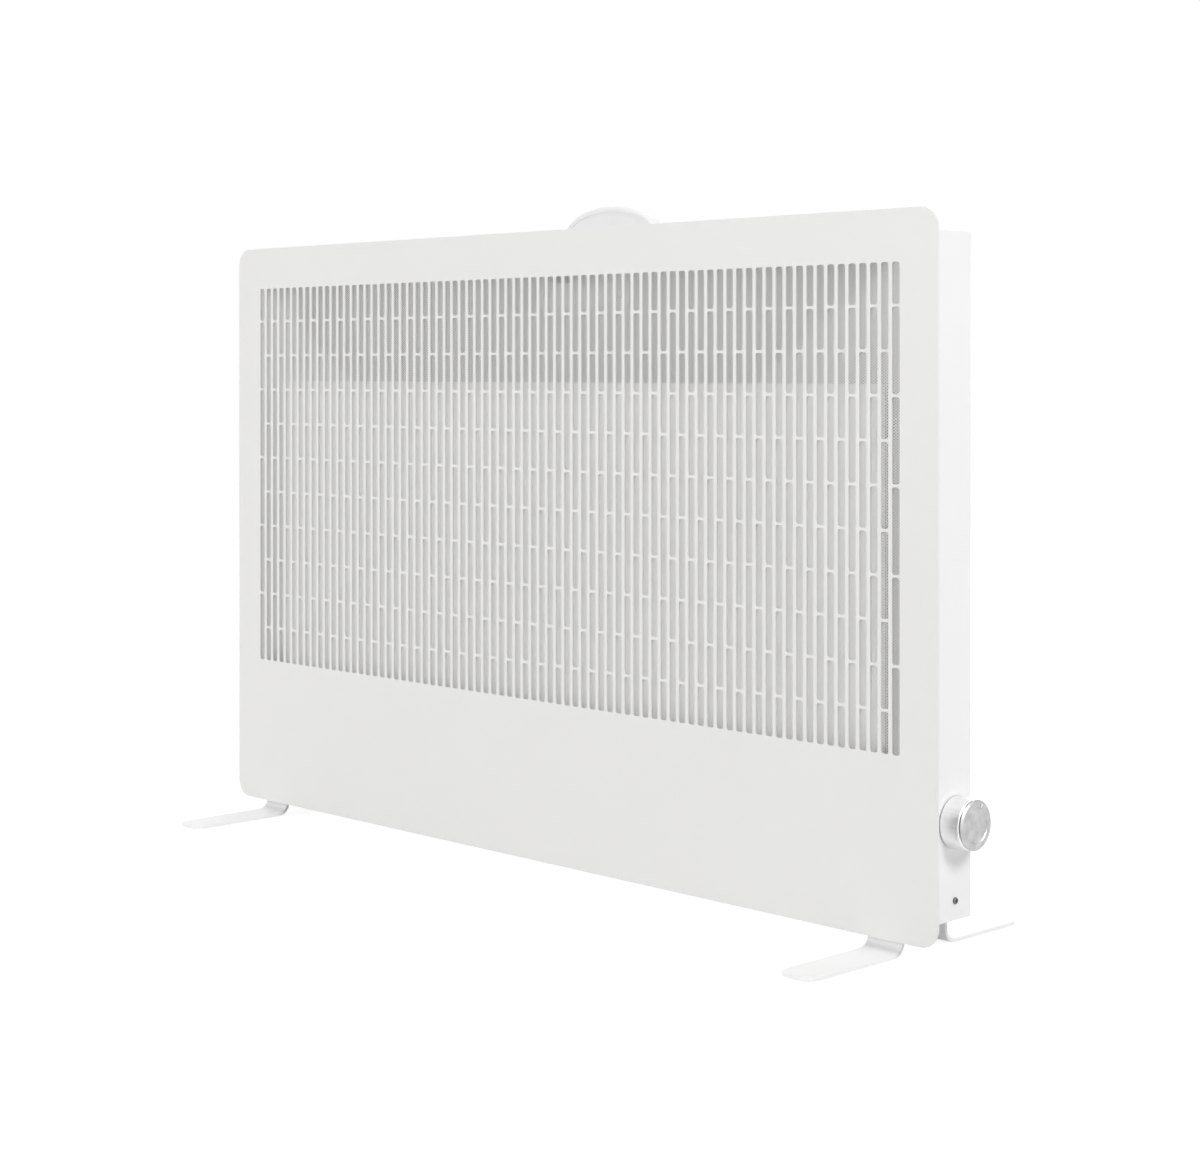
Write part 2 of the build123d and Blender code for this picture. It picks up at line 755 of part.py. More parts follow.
def make_foil(side):
    """One resistance foil: a flat meander of upright runs, joined in turn at the top and the bottom."""
    pitch = foil_strip + foil_gap
    low = mica_bottom_z + foil_bottom_margin
    high = mica_top_z - foil_top_margin
    usable = mica_outer_x - mica_inner_x - 2 * foil_side_margin
    runs = int(usable // pitch)
    start = mica_inner_x + foil_side_margin + (usable - runs * pitch + foil_gap) / 2
    foil = None
    for i in range(runs):
        x = start + i * pitch
        strip = Pos(x + foil_strip / 2, (low + high) / 2) * Rectangle(foil_strip, high - low)
        foil = strip if foil is None else foil + strip
        if i < runs - 1:
            z = high - foil_strip / 2 if i % 2 == 0 else low + foil_strip / 2
            foil += Pos(x + foil_strip + foil_gap / 2, z) * Rectangle(foil_gap, foil_strip)
    first_x = start + foil_strip / 2
    last_x = start + (runs - 1) * pitch + foil_strip / 2
    for x in (first_x, last_x):
        foil += Pos(x, low - foil_tail_length / 2) * Rectangle(foil_strip, foil_tail_length)
    foil = extrude(upright(foil_back_y) * foil, foil_thickness)
    return foil if side > 0 else foil.mirror(Plane.YZ)


def make_clamp_bar(x):
    bar = Pos(x, plate_mid_z) * Rectangle(clamp_bar_width, mica_top_z - mica_bottom_z)
    for stud_x, z in stack_stud_places:
        if abs(stud_x - x) < clamp_bar_width:
            bar -= Pos(stud_x, z) * Circle(stack_stud_radius)
    return extrude(upright(bar_back_y) * bar, clamp_bar_thickness)


def make_heat_shield():
    shield_height = plate_top_z - plate_bottom_z - 2 * shield_margin
    shield = Pos(0, plate_mid_z) * Rectangle(plate_width - 2 * shield_margin, shield_height)
    for x, z in stack_stud_places:
        shield -= Pos(x, z) * Circle(stack_stud_radius)
    return extrude(upright(shield_back_y) * shield, shield_thickness)


def make_stack_fasteners():
    studs = []
    front = []
    rear = []
    nuts = []
    for x, z in stack_stud_places:
        nut_end = (x, rail_back_y + stack_nut_height, z)
        studs.append(rod(stack_stud_radius, (x, plate_back_y, z), (x, rail_back_y + stack_stud_end, z)))
        front.append(ring(stack_bush_radius, stack_stud_radius, (x, bar_back_y, z), (x, shield_front_y, z)))
        rear.append(ring(stack_bush_radius, stack_stud_radius, (x, shield_back_y, z), (x, rail_front_y, z)))
        nuts.append(hex_nut(stack_nut_flats, stack_stud_radius, (x, rail_back_y, z), nut_end))
    return group(studs), group(front), group(rear), group(nuts)


def make_cross_rail(z):
    """A rail behind the heat shield, with both ends set back on to the rear lips of the side channels."""
    end_x = body_half_width - sheet - clearance
    leg_x = body_half_width - lip - clearance
    foot_front = rear_lip_y - rail_thickness
    rail = block(-leg_x, leg_x, rail_front_y, rail_back_y, z - rail_width / 2, z + rail_width / 2)
    for s in (-1, 1):
        x0, x1 = sorted((s * leg_x, s * (leg_x - rail_thickness)))
        rail += block(x0, x1, rail_back_y, rear_lip_y, z - rail_width / 2, z + rail_width / 2)
        x0, x1 = sorted((s * leg_x, s * end_x))
        rail += block(x0, x1, foot_front, rear_lip_y, z - rail_width / 2, z + rail_width / 2)
    for x, stud_z in stack_stud_places:
        if abs(stud_z - z) < 1:
            rail -= rod(stack_stud_radius, (x, rail_front_y - 1, z), (x, rail_back_y + 1, z))
    for s in (-1, 1):
        x = s * cover_screw_x
        rail -= rod(cover_screw_radius, (x, foot_front - 1, z), (x, rear_lip_y + 1, z))
    return rail


# Switches and terminals: a case or foot is half its length, half its width and, for a case, its height
cutout_plate = (20.0, 8.0)
cutout_plate_thickness = 2.0
cutout_body_radius = 9.0
cutout_body_reach = 24.0
cutout_neck = (13.0, 2.0)
cutout_neck_span = (18.0, 10.0)
cutout_tag_inner_x = 6.0
cutout_tag_outer_x = 12.0
cutout_tag_half_y = 0.5
cutout_tag_span = (22.0, 12.0)
tip_switch_case = (12.0, 9.0, 34.0)
tip_switch_corner_radius = 2.0
tip_switch_plate = (22.0, 6.0)
tip_switch_foot = 2.0
terminal_plate = (22.0, 10.0)
terminal_base = 5.0
terminal_tower = (4.0, 9.0, 16.0)
terminal_pitch = 9.5
small_screw_head = (2.7, 1.8)
small_screw_end = 2.0
earth_stud_height = 10.0
earth_nut_flats = 7.0
earth_nut_height = 3.2
gland_dome_radius = 9.0
gland_dome_height = 10.0
gland_dome_round = 3.0
gland_thread_length = 9.0
gland_nut_flats = 17.0
gland_nut_height = 4.0


def make_overheat_cutout():
    """Temperature limiter under the top: a bracket plate, a disc body and two tags."""
    under = body_top_z - sheet
    half_x, half_y = cutout_plate
    plate_under = under - cutout_plate_thickness
    cutout = block(-half_x, half_x, -half_y, half_y, plate_under, under)
    cutout += rod(cutout_body_radius, (0, 0, plate_under), (0, 0, under - cutout_body_reach))
    half_x, half_y = cutout_neck
    low, high = cutout_neck_span
    cutout += block(-half_x, half_x, -half_y, half_y, under - low, under - high)
    low, high = cutout_tag_span
    for s in (-1, 1):
        x0, x1 = sorted((s * cutout_tag_inner_x, s * cutout_tag_outer_x))
        cutout += block(x0, x1, -cutout_tag_half_y, cutout_tag_half_y, under - low, under - high)
    return cutout


def on_base(x, half_x, half_y, height):
    """A box that stands on the bottom channel."""
    return block(x - half_x, x + half_x, terminal_y - half_y, terminal_y + half_y, floor_z, floor_z + height)


def base_screw_holes(x, height):
    """Cutters for the two screws of a piece that stands on the bottom channel."""
    return [
        rod(small_screw_radius, (x + s * screw_pair_offset, terminal_y, floor_z - 1),
            (x + s * screw_pair_offset, terminal_y, floor_z + height + 1))
        for s in (-1, 1)
    ]


def make_tip_over_switch():
    """Roll-ball switch: a case on a two-screw foot."""
    case = on_base(tip_switch_x, *tip_switch_case)
    case = fillet(case.edges().filter_by(Axis.Z), tip_switch_corner_radius)
    switch = on_base(tip_switch_x, *tip_switch_plate, tip_switch_foot) + case
    return switch - base_screw_holes(tip_switch_x, tip_switch_foot)


def make_terminal_block():
    """Three-pole terminal block: a base with a row of three towers."""
    terminals = on_base(terminal_x, *terminal_plate, terminal_base)
    for pole in (-1, 0, 1):
        terminals += on_base(terminal_x + pole * terminal_pitch, *terminal_tower)
    return terminals - base_screw_holes(terminal_x, terminal_base)


def make_base_screws(x, seat_z):
    size = (small_screw_radius, *small_screw_head, seat_z - body_bottom_z + small_screw_end)
    places = [(x + s * screw_pair_offset, terminal_y, seat_z) for s in (-1, 1)]
    return group(pan_screw(*size, place, (0, 0, -1)) for place in places)


def make_earth_parts():
    foot = (earth_x, terminal_y, body_bottom_z)
    seat = (earth_x, terminal_y, floor_z)
    stud = rod(earth_radius, foot, (earth_x, terminal_y, floor_z + earth_stud_height))
    nut = hex_nut(earth_nut_flats, earth_radius, seat, (earth_x, terminal_y, floor_z + earth_nut_height))
    return stud, nut


def make_cable_gland():
    """Lead inlet in the back plate: dome outside, thread through the sheet."""
    top = (0, 0, gland_dome_height)
    tip = (0, 0, -gland_thread_length)
    dome = rod(gland_dome_radius, (0, 0, 0), top)
    dome = fillet(dome.edges().group_by(Axis.Z)[-1], gland_dome_round)
    gland = dome + rod(gland_thread_radius, tip, (0, 0, 0))
    gland -= rod(gland_bore_radius, tip, top)
    return Plane(origin=(gland_x, body_rear_y, gland_z), z_dir=(0, 1, 0)) * gland


def make_gland_nut():
    inside = body_rear_y - sheet
    nut_end = (gland_x, inside - gland_nut_height, gland_z)
    return hex_nut(gland_nut_flats, gland_thread_radius, (gland_x, inside, gland_z), nut_end)


def main():
    os.makedirs("parts", exist_ok=True)
    save("front_panel", make_front_panel())
    save("guard_mesh", make_guard_mesh())
    save("mesh_rail_bottom", make_mesh_rail(mesh_stud_rows[0]))
    save("mesh_rail_top", make_mesh_rail(mesh_stud_rows[1]))
    mesh_studs, mesh_nuts = make_mesh_fasteners()
    save("mesh_studs", mesh_studs)
    save("mesh_nuts", mesh_nuts)
    panel_studs, panel_spacers, panel_nuts = make_panel_fasteners()
    save("panel_studs", panel_studs)
    save("panel_spacers", panel_spacers)
    save("panel_nuts", panel_nuts)
    save("side_channel_right", side_channel(1))
    save("side_channel_left", side_channel(-1))
    save("top_channel", make_top_channel())
    save("bottom_channel", make_bottom_channel())
    save("rear_cover", make_rear_cover())
    save("cover_screws", make_cover_screws())
    save("side_screws", make_side_screws())
    save("foot_right", make_foot(1))
    save("foot_left", make_foot(-1))
    foot_screws, foot_nuts = make_foot_fasteners()
    save("foot_screws", foot_screws)
    save("foot_nuts", foot_nuts)
    save("foot_pads", make_foot_pads())
    save("knob_drum", make_knob_drum())
    save("knob_face", make_knob_face())
    save("knob_pointer", make_knob_pointer())
    save("thermostat_body", make_thermostat_body())
    save("thermostat_bush", make_thermostat_bush())
    save("thermostat_nut", make_thermostat_nut())
    save("thermostat_shaft", make_thermostat_shaft())
    save("hand_grip", make_hand_grip())
    save("grip_plate", make_grip_plate())
    save("grip_screws", make_grip_screws())
    save("radiant_plate", make_radiant_plate())
    for side, name in ((-1, "left"), (1, "right")):
        save(f"mica_front_{name}", make_mica(side, plate_back_y))
        save(f"heating_foil_{name}", make_foil(side))
        save(f"mica_rear_{name}", make_mica(side, foil_back_y))
    save("clamp_bar_left", make_clamp_bar(-outer_bar_x))
    save("clamp_bar_centre", make_clamp_bar(0.0))
    save("clamp_bar_right", make_clamp_bar(outer_bar_x))
    save("heat_shield", make_heat_shield())
    plate_studs, front_bushes, rear_bushes, plate_nuts = make_stack_fasteners()
    save("plate_studs", plate_studs)
    save("front_bushes", front_bushes)
    save("rear_bushes", rear_bushes)
    save("plate_nuts", plate_nuts)
    save("cross_rail_lower", make_cross_rail(lower_rail_z))
    save("cross_rail_upper", make_cross_rail(upper_rail_z))
    save("overheat_cutout", make_overheat_cutout())
    save("tip_over_switch", make_tip_over_switch())
    save("tip_switch_screws", make_base_screws(tip_switch_x, floor_z + tip_switch_foot))
    save("terminal_block", make_terminal_block())
    save("terminal_screws", make_base_screws(terminal_x, floor_z + terminal_base))
    earth_stud, earth_nut = make_earth_parts()
    save("earth_stud", earth_stud)
    save("earth_nut", earth_nut)
    save("cable_gland", make_cable_gland())
    save("gland_nut", make_gland_nut())


main()
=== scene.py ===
import json
import math

import bmesh
import bpy
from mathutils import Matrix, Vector


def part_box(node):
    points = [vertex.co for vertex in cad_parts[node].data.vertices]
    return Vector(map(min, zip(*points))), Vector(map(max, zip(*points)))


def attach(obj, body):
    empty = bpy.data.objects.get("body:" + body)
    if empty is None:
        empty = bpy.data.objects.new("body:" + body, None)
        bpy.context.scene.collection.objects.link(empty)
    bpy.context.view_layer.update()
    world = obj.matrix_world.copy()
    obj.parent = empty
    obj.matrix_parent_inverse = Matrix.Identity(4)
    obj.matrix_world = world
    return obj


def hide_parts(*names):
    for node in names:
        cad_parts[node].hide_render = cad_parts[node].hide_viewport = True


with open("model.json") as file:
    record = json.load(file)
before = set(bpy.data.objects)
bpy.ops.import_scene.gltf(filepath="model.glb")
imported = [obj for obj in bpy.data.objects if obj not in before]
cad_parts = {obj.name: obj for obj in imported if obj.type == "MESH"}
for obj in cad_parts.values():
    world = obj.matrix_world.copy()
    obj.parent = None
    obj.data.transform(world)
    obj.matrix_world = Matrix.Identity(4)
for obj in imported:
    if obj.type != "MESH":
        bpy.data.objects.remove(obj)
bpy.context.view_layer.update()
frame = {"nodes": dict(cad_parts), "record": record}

# Free-standing infrared panel heater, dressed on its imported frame. Metres, +X is the knob side,
# -Y is the front, +Z is up, and the floor is at Z = 0.

MM = 0.001
NODES = frame["nodes"]


def corners(node):
    low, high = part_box(node)
    return Vector(low), Vector(high)


# Front sheet and its field of slots
sheet_low, sheet_high = corners("front_panel")
sheet_thickness = sheet_high.y - sheet_low.y
sheet_corner_radius = 15 * MM
sheet_corner_steps = 12
slot_columns = 77
full_slots = 5
slot_width = 6.8 * MM
slot_corner_radius = 2.0 * MM
slot_corner_steps = 4
slot_bridge = 2.0 * MM
first_column_inset = 36.0 * MM
field_top = sheet_high.z - 36.5 * MM
field_bottom = sheet_high.z - 373.0 * MM
sheet_edge_round = 0.3 * MM
sheet_edge_angle = math.radians(50)

# Expanded mesh behind the slots
mesh_low, mesh_high = corners("guard_mesh")
strand_pitch = 2.0 * MM
strand_slope = 2.0 / 3.0
strand_width = 0.5 * MM
strand_thickness = 0.35 * MM
front_strand_y = mesh_low.y + 0.02 * MM
rear_strand_y = mesh_low.y + 0.3 * MM

# A face whose normal has a Y above this counts as outside on the rear cover; the faces towards the front
# get the painted shade
cover_front_limit = -0.5


def material(name):
    """A new material, with its node tree and its principled shader."""
    mat = bpy.data.materials.new(name)
    mat.use_nodes = True
    tree = mat.node_tree
    shader = tree.nodes["Principled BSDF"]
    return mat, tree, shader


def place(tree, scale=(1, 1, 1), centre=(0, 0, 0)):
    """Object coordinates about a centre, in metres times the scale."""
    source = tree.nodes.new("ShaderNodeTexCoord")
    mapping = tree.nodes.new("ShaderNodeMapping")
    mapping.inputs["Location"].default_value = [-c * s for c, s in zip(centre, scale)]
    mapping.inputs["Scale"].default_value = scale
    tree.links.new(source.outputs["Object"], mapping.inputs["Vector"])
    return mapping.outputs["Vector"]


def noise(tree, vector, scale, detail=3.0):
    node = tree.nodes.new("ShaderNodeTexNoise")
    node.inputs["Scale"].default_value = scale
    node.inputs["Detail"].default_value = detail
    tree.links.new(vector, node.inputs["Vector"])
    return node.outputs["Fac"]


def ramp(tree, value, low, high, start=0.3, end=0.7):
    """Turns a 0 to 1 value into one between low and high, which are numbers or colours."""
    node = tree.nodes.new("ShaderNodeValToRGB")
    pair = [(v, v, v, 1) if isinstance(v, (int, float)) else (*v, 1) for v in (low, high)]
    node.color_ramp.elements[0].position = start
    node.color_ramp.elements[1].position = end
    node.color_ramp.elements[0].color = pair[0]
    node.color_ramp.elements[1].color = pair[1]
    tree.links.new(value, node.inputs["Fac"])
    return node.outputs["Color"]


def bump(tree, shader, height, strength, distance):
    node = tree.nodes.new("ShaderNodeBump")
    node.inputs["Strength"].default_value = strength
    node.inputs["Distance"].default_value = distance
    tree.links.new(height, node.inputs["Height"])
    tree.links.new(node.outputs["Normal"], shader.inputs["Normal"])


def powder_coat(name, colour, roughness=0.42):
    """Satin powder coat: even colour, faint clouding and a fine orange peel."""
    mat, tree, shader = material(name)
    space = place(tree)
    darker = [c * 0.985 for c in colour]
    tree.links.new(ramp(tree, noise(tree, space, 6.0), darker, colour), shader.inputs["Base Color"])
    grain = noise(tree, space, 900.0, detail=2.0)
    tree.links.new(ramp(tree, grain, roughness - 0.05, roughness + 0.05), shader.inputs["Roughness"])
    bump(tree, shader, grain, strength=0.12, distance=0.0002)
    shader.inputs["Specular IOR Level"].default_value = 0.4
    return mat


def cover_paint_with_painted_shade(name, outside, painted_shade_inside):
    """Powder coat on the cover's outside; its face towards the front is a darker grey: painted shade."""
    mat = powder_coat(name, outside)
    tree = mat.node_tree
    shader = tree.nodes["Principled BSDF"]
    painted = shader.inputs["Base Color"].links[0].from_socket
    facing = tree.nodes.new("ShaderNodeSeparateXYZ")
    tree.links.new(tree.nodes.new("ShaderNodeNewGeometry").outputs["True Normal"], facing.inputs[0])
    towards_back = tree.nodes.new("ShaderNodeMath")
    towards_back.operation = "GREATER_THAN"
    towards_back.inputs[1].default_value = cover_front_limit
    tree.links.new(facing.outputs["Y"], towards_back.inputs[0])
    # Faces towards the front take the darker grey: painted shade inside the cavity
    mix = tree.nodes.new("ShaderNodeMix")
    mix.data_type = "RGBA"
    mix.inputs["A"].default_value = (*painted_shade_inside, 1)
    tree.links.new(towards_back.outputs[0], mix.inputs["Factor"])
    tree.links.new(painted, mix.inputs["B"])
    tree.links.new(mix.outputs["Result"], shader.inputs["Base Color"])
    return mat


def moulded_plastic(name, colour, roughness=0.45):
    """Moulded plastic with a fine spark-eroded grain."""
    mat, tree, shader = material(name)
    space = place(tree)
    lighter = [min(1.0, c * 1.03) for c in colour]
    tree.links.new(ramp(tree, noise(tree, space, 40.0), colour, lighter), shader.inputs["Base Color"])
    grain = noise(tree, space, 1800.0, detail=2.0)
    tree.links.new(ramp(tree, grain, roughness - 0.06, roughness + 0.06), shader.inputs["Roughness"])
    bump(tree, shader, grain, strength=0.15, distance=0.0002)
    return mat


def bright_metal(name, colour, roughness, grain_scale=(60.0, 60.0, 2200.0)):
    """Plain worked metal with fine lines along the sheet."""
    mat, tree, shader = material(name)
    shader.inputs["Metallic"].default_value = 1.0
    lines = noise(tree, place(tree, grain_scale), 1.0, detail=4.0)
    darker = [c * 0.9 for c in colour]
    tree.links.new(ramp(tree, lines, darker, colour), shader.inputs["Base Color"])
    tree.links.new(ramp(tree, lines, roughness - 0.06, roughness + 0.1), shader.inputs["Roughness"])
    bump(tree, shader, lines, strength=0.08, distance=0.0001)
    return mat


def knob_centre():
    low, high = corners("knob_drum")
    return (low + high) / 2


def turned_metal(name, colour, roughness, line_width, cloud_scale):
    """Metal turned on a lathe about the knob's axis: fine circles, and soft clouds from handling.
    A bright line and the dark line beside it are each about one line width across."""
    mat, tree, shader = material(name)
    shader.inputs["Metallic"].default_value = 1.0
    shader.inputs["Anisotropic"].default_value = 0.6
    centre = knob_centre()
    rings = tree.nodes.new("ShaderNodeTexWave")
    rings.wave_type = "RINGS"
    rings.rings_direction = "X"
    rings.inputs["Scale"].default_value = 0.5 / line_width / math.pi
    rings.inputs["Distortion"].default_value = 0.6
    rings.inputs["Detail"].default_value = 3.0
    tree.links.new(place(tree, centre=centre), rings.inputs["Vector"])
    tangent = tree.nodes.new("ShaderNodeTangent")
    tangent.direction_type = "RADIAL"
    tangent.axis = "X"
    tree.links.new(tangent.outputs["Tangent"], shader.inputs["Tangent"])
    lines = rings.outputs["Fac"]
    darker = [c * 0.86 for c in colour]
    cloud = tree.nodes.new("ShaderNodeMix")
    cloud.data_type = "RGBA"
    cloud.blend_type = "MULTIPLY"
    cloud.inputs["Factor"].default_value = 1.0
    tree.links.new(ramp(tree, lines, darker, colour, start=0.1, end=0.9), cloud.inputs["A"])
    tree.links.new(ramp(tree, noise(tree, place(tree), cloud_scale), 0.72, 1.0), cloud.inputs["B"])
    tree.links.new(cloud.outputs["Result"], shader.inputs["Base Color"])
    gloss = ramp(tree, lines, roughness - 0.05, roughness + 0.06, start=0.1, end=0.9)
    tree.links.new(gloss, shader.inputs["Roughness"])
    bump(tree, shader, lines, strength=0.12, distance=0.0001)
    return mat


def mica_sheet(name):
    """Pressed mica: warm flakes that catch the light."""
    mat, tree, shader = material(name)
    cells = tree.nodes.new("ShaderNodeTexVoronoi")
    cells.inputs["Scale"].default_value = 260.0
    tree.links.new(place(tree), cells.inputs["Vector"])
    depth = cells.outputs["Distance"]
    flakes = ramp(tree, depth, (0.36, 0.29, 0.17), (0.58, 0.5, 0.34), start=0.1, end=0.6)
    tree.links.new(flakes, shader.inputs["Base Color"])
    tree.links.new(ramp(tree, depth, 0.25, 0.5, start=0.1, end=0.6), shader.inputs["Roughness"])
    bump(tree, shader, depth, strength=0.1, distance=0.0002)
    return mat


def rubber(name):
    mat, tree, shader = material(name)
    grain = noise(tree, place(tree), 1200.0)
    tree.links.new(ramp(tree, grain, 0.012, 0.03), shader.inputs["Base Color"])
    tree.links.new(ramp(tree, grain, 0.7, 0.9), shader.inputs["Roughness"])
    bump(tree, shader, grain, strength=0.3, distance=0.0003)
    return mat


def dress(mat, *names):
    """Gives CAD nodes their material."""
    for name in names:
        mesh = NODES[name].data
        mesh.materials.clear()
        mesh.materials.append(mat)


def mesh_object(name, mesh, mat, slot, *replaced):
    """A new piece on the heater's own body that stands for CAD nodes."""
    obj = bpy.data.objects.new(name, mesh)
    bpy.context.scene.collection.objects.link(obj)
    mesh.materials.append(mat)
    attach(obj, "heater")
    if replaced:
        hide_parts(*replaced)
    return obj


def rounded_loop(x0, x1, z0, z1, radius, steps):
    """Points round a rectangle with round corners."""
    loop = []
    right, left = x1 - radius, x0 + radius
    upper, lower = z1 - radius, z0 + radius
    for quarter, (cx, cz) in enumerate(((right, upper), (left, upper), (left, lower), (right, lower))):
        for i in range(steps + 1):
            angle = math.radians(90) * (quarter + i / steps)
            loop.append((cx + radius * math.cos(angle), cz + radius * math.sin(angle)))
    return loop


def slot_loops():
    """Outlines of the slots: the half slot is at the top of one column and at the bottom of the next."""
    period = (field_top - field_bottom + slot_bridge) / (full_slots + 0.5)
    pitch = (sheet_high.x - sheet_low.x - 2 * first_column_inset) / (slot_columns - 1)
    loops = []
    for column in range(slot_columns):
        x = sheet_low.x + first_column_inset + column * pitch
        heights = [period] * full_slots
        heights.insert(0 if column % 2 == 0 else full_slots, period / 2)
        top = field_top
        for height in heights:
            sides = (x - slot_width / 2, x + slot_width / 2)
            bottom = top - height + slot_bridge
            loops.append(rounded_loop(*sides, bottom, top, slot_corner_radius, slot_corner_steps))
            top -= height
    return loops


def holed_sheet(name, outline, holes, y_front, thickness):
    """A flat upright sheet with holes, as one closed mesh."""
    curve = bpy.data.curves.new(name, "CURVE")
    curve.dimensions = "2D"
    curve.fill_mode = "BOTH"
    curve.extrude = thickness / 2
    for loop in [outline] + holes:
        spline = curve.splines.new("POLY")
        spline.points.add(len(loop) - 1)
        spline.use_cyclic_u = True
        for point, (x, z) in zip(spline.points, loop):
            point.co = (x, z, 0, 1)
    temporary = bpy.data.objects.new(name, curve)
    bpy.context.scene.collection.objects.link(temporary)
    graph = bpy.context.evaluated_depsgraph_get()
    mesh = bpy.data.meshes.new_from_object(temporary.evaluated_get(graph))
    bpy.data.objects.remove(temporary)
    bpy.data.curves.remove(curve)
    work = bmesh.new()
    work.from_mesh(mesh)
    for vertex in work.verts:
        x, z, depth = vertex.co
        vertex.co = (x, y_front + thickness / 2 + depth, z)
    bmesh.ops.remove_doubles(work, verts=work.verts, dist=1e-6)
    bmesh.ops.recalc_face_normals(work, faces=work.faces)
    work.to_mesh(mesh)
    work.free()
    mesh.name = name
    return mesh


def front_sheet(mat):
    ends = (sheet_low.x, sheet_high.x, sheet_low.z, sheet_high.z)
    outline = rounded_loop(*ends, sheet_corner_radius, sheet_corner_steps)
    mesh = holed_sheet("front_sheet", outline, slot_loops(), sheet_low.y, sheet_thickness)
    obj = mesh_object("front_sheet", mesh, mat, "panel_white", "front_panel")
    edge = obj.modifiers.new("edge", "BEVEL")
    edge.width = sheet_edge_round
    edge.segments = 2
    edge.limit_method = "ANGLE"
    edge.angle_limit = sheet_edge_angle
    edge.harden_normals = True
    return obj


def clipped_strand(offset, slope):
    """Ends of the line z = offset + slope * x where it crosses the mesh's rectangle, or None."""
    ends = []
    for x in (mesh_low.x, mesh_high.x):
        z = offset + slope * x
        if mesh_low.z <= z <= mesh_high.z:
            ends.append((x, z))
    for z in (mesh_low.z, mesh_high.z):
        x = (z - offset) / slope
        if mesh_low.x < x < mesh_high.x:
            ends.append((x, z))
    ends.sort()
    if len(ends) < 2 or ends[-1][0] - ends[0][0] <= strand_pitch:
        return None
    return ends[0], ends[-1]


def guard_mesh(mat):
    """Expanded mesh: two families of crossing strands, with the second just behind the first."""
    work = bmesh.new()
    for slope, y in ((strand_slope, front_strand_y), (-strand_slope, rear_strand_y)):
        reach = [z - slope * x for x in (mesh_low.x, mesh_high.x) for z in (mesh_low.z, mesh_high.z)]
        count = int((max(reach) - min(reach)) / strand_pitch)
        across = strand_width / 2 * math.sqrt(1 + slope * slope)
        for i in range(1, count + 1):
            ends = clipped_strand(min(reach) + i * strand_pitch, slope)
            if ends is None:
                continue
            ring = []
            for x, z in ends:
                for back, up in ((0, -across), (0, across), (1, across), (1, -across)):
                    height = min(max(z + up, mesh_low.z), mesh_high.z)
                    ring.append(work.verts.new((x, y + back * strand_thickness, height)))
            for k in range(4):
                n = (k + 1) % 4
                work.faces.new((ring[k], ring[n], ring[n + 4], ring[k + 4]))
            work.faces.new(ring[3::-1])
            work.faces.new(ring[4:])
    bmesh.ops.recalc_face_normals(work, faces=work.faces)
    mesh = bpy.data.meshes.new("guard_strands")
    work.to_mesh(mesh)
    work.free()
    return mesh_object("guard_strands", mesh, mat, "mesh_white", "guard_mesh")


def soft_light(name, place_at, aim, size, power):
    """A rectangular area lamp that faces its aim, with its power in watts."""
    lamp = bpy.data.lights.new(name, "AREA")
    lamp.shape = "RECTANGLE"
    lamp.size, lamp.size_y = size
    lamp.energy = power
    obj = bpy.data.objects.new(name, lamp)
    obj.location = place_at
    obj.rotation_euler = (Vector(aim) - Vector(place_at)).to_track_quat("-Z", "Y").to_euler()
    bpy.context.scene.collection.objects.link(obj)


def seen_directly(tree):
    """1 for camera, glossy and transmission rays, 0 for the light that falls on things."""
    path = tree.nodes.new("ShaderNodeLightPath")
    total = path.outputs["Is Camera Ray"]
    for name in ("Is Glossy Ray", "Is Transmission Ray"):
        larger = tree.nodes.new("ShaderNodeMath")
        larger.operation = "MAXIMUM"
        tree.links.new(total, larger.inputs[0])
        tree.links.new(path.outputs[name], larger.inputs[1])
        total = larger.outputs[0]
    return total


def white_surroundings(ambient):
    """Full white for the camera, and only the ambient strength for the light that falls on things."""
    world = bpy.data.worlds.new("white")
    world.use_nodes = True
    tree = world.node_tree
    background = tree.nodes["Background"]
    background.inputs["Color"].default_value = (1, 1, 1, 1)
    strength = ramp(tree, seen_directly(tree), ambient, 1.0, start=0.0, end=1.0)
    tree.links.new(strength, background.inputs["Strength"])
    bpy.context.scene.world = world


def white_floor(glow, shade, bounce):
    """A white floor. For the camera most of its white is its own glow, and its shade keeps the shadow.
    For the light that falls on the heater it is a plain floor that sends back its bounce."""
    mat = bpy.data.materials.new("floor_white")
    mat.use_nodes = True
    tree = mat.node_tree
    tree.nodes.clear()
    seen = seen_directly(tree)
    own = tree.nodes.new("ShaderNodeEmission")
    tree.links.new(ramp(tree, seen, 0.0, glow, start=0.0, end=1.0), own.inputs["Strength"])
    lit = tree.nodes.new("ShaderNodeBsdfDiffuse")
    tree.links.new(ramp(tree, seen, bounce, shade, start=0.0, end=1.0), lit.inputs["Color"])
    both = tree.nodes.new("ShaderNodeAddShader")
    tree.links.new(own.outputs[0], both.inputs[0])
    tree.links.new(lit.outputs[0], both.inputs[1])
    output = tree.nodes.new("ShaderNodeOutputMaterial")
    tree.links.new(both.outputs[0], output.inputs["Surface"])
    mesh = bpy.data.meshes.new("floor")
    reach = 40.0
    square = [(-reach, -reach, 0), (reach, -reach, 0), (reach, reach, 0), (-reach, reach, 0)]
    mesh.from_pydata(square, [], [(0, 1, 2, 3)])
    mesh.materials.append(mat)
    floor = bpy.data.objects.new("floor", mesh)
    bpy.context.scene.collection.objects.link(floor)


def photo_camera(place_at, turn_deg, focal_length, shift_y):
    """A level camera, turned about the upright axis, with its frame shifted as the photograph's is."""
    lens = bpy.data.cameras.new("camera")
    lens.sensor_width = 36.0
    lens.lens = focal_length
    lens.shift_y = shift_y
    lens.clip_start = 0.05
    camera = bpy.data.objects.new("camera", lens)
    camera.location = place_at
    camera.rotation_euler = (math.radians(90), 0, math.radians(turn_deg))
    bpy.context.scene.collection.objects.link(camera)
    bpy.context.scene.camera = camera


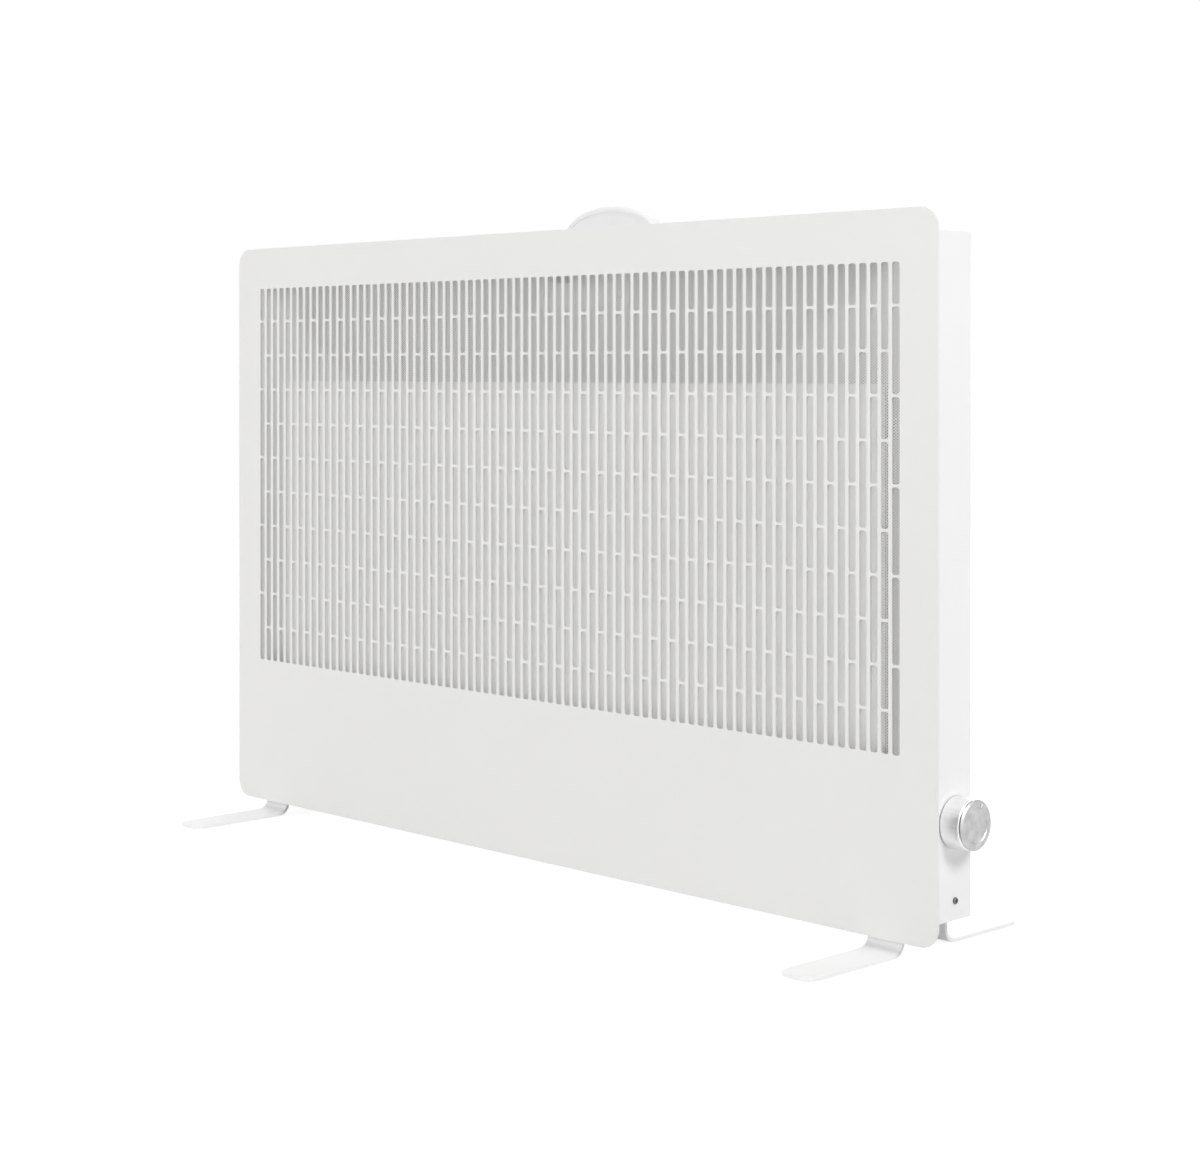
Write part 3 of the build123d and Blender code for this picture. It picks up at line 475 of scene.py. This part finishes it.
photo_camera(place_at=(1.338735, -1.25913, 0.40115), turn_deg=45.733, focal_length=68.71, shift_y=-0.1781)

panel_white = powder_coat("panel_white", (0.82, 0.817, 0.808))
body_white = powder_coat("body_white", (0.88, 0.88, 0.88))
# The inner face of the rear cover is a darker grey: painted shade in the cavity seen through the slots
cover_white = cover_paint_with_painted_shade("cover_white", (0.88, 0.88, 0.88), (0.6, 0.6, 0.6))
foot_white = powder_coat("foot_white", (0.93, 0.93, 0.93), 0.4)
mesh_white = powder_coat("mesh_white", (0.94, 0.94, 0.93), 0.5)
plate_pale = powder_coat("plate_pale", (0.96, 0.96, 0.95), 0.55)
grip_white = moulded_plastic("grip_white", (0.84, 0.84, 0.84))
dark_plastic = moulded_plastic("dark_plastic", (0.03, 0.03, 0.033))
pale_plastic = moulded_plastic("pale_plastic", (0.7, 0.68, 0.6))
ceramic = moulded_plastic("ceramic", (0.76, 0.73, 0.66), 0.7)
mark_white = moulded_plastic("knob_mark", (0.86, 0.86, 0.86), 0.35)
zinc = bright_metal("zinc", (0.62, 0.63, 0.65), 0.34)
dark_steel = bright_metal("dark_screw", (0.2, 0.2, 0.21), 0.4)
bright_sheet = bright_metal("shield_bright", (0.85, 0.85, 0.86), 0.25)
foil_metal = bright_metal("foil", (0.4, 0.38, 0.36), 0.4)
brass = bright_metal("brass", (0.72, 0.55, 0.25), 0.3)
knob_silver = bright_metal("knob_silver", (0.97, 0.97, 0.97), 0.36, grain_scale=(60.0, 1400.0, 1400.0))
knob_spun = turned_metal("knob_spun", (0.62, 0.62, 0.62), 0.32, line_width=0.35 * MM, cloud_scale=130.0)

dress(panel_white, "front_panel")
dress(mesh_white, "guard_mesh")
dress(body_white, "side_channel_right", "side_channel_left", "top_channel", "bottom_channel")
dress(cover_white, "rear_cover")
dress(foot_white, "foot_left", "foot_right")
dress(rubber("pad_rubber"), "foot_pads")
dress(knob_silver, "knob_drum")
dress(knob_spun, "knob_face")
dress(mark_white, "knob_pointer")
dress(grip_white, "hand_grip")
dress(plate_pale, "radiant_plate")
dress(dark_steel, "side_screws")
# Black plastic parts; the overheat cut-out's black also stands in for the shade at the top centre of the
# slot field: painted shade
dress(dark_plastic, "overheat_cutout", "thermostat_body", "tip_over_switch", "cable_gland", "gland_nut")
dress(pale_plastic, "terminal_block")
dress(ceramic, "front_bushes", "rear_bushes")
dress(brass, "thermostat_bush", "terminal_screws")
dress(bright_sheet, "heat_shield")
dress(mica_sheet("mica"), "mica_front_left", "mica_front_right", "mica_rear_left", "mica_rear_right")
dress(foil_metal, "heating_foil_left", "heating_foil_right")
for piece in frame["record"]["subparts"]:
    if piece["material_slot"] == "zinc":
        dress(zinc, piece["node"])

front_sheet(panel_white)
guard_mesh(mesh_white)

white_surroundings(ambient=0.4)
white_floor(glow=0.86, shade=0.35, bounce=0.8)
soft_light("key", place_at=(-1.1, -3.4, 1.3), aim=(-0.15, 0, 0.25), size=(2.6, 2.0), power=54.0)
soft_light("side", place_at=(2.5, -0.4, 1.9), aim=(0.3, 0, 0.2), size=(0.9, 0.9), power=39.0)
soft_light("top", place_at=(0, 0, 3.2), aim=(0, 0, 0), size=(1.6, 1.2), power=12.0)
soft_light("rear", place_at=(-1.8, 2.9, 2.0), aim=(-0.1, 0, 0.25), size=(2.4, 1.6), power=42.0)

bpy.context.scene.view_settings.view_transform = "Standard"
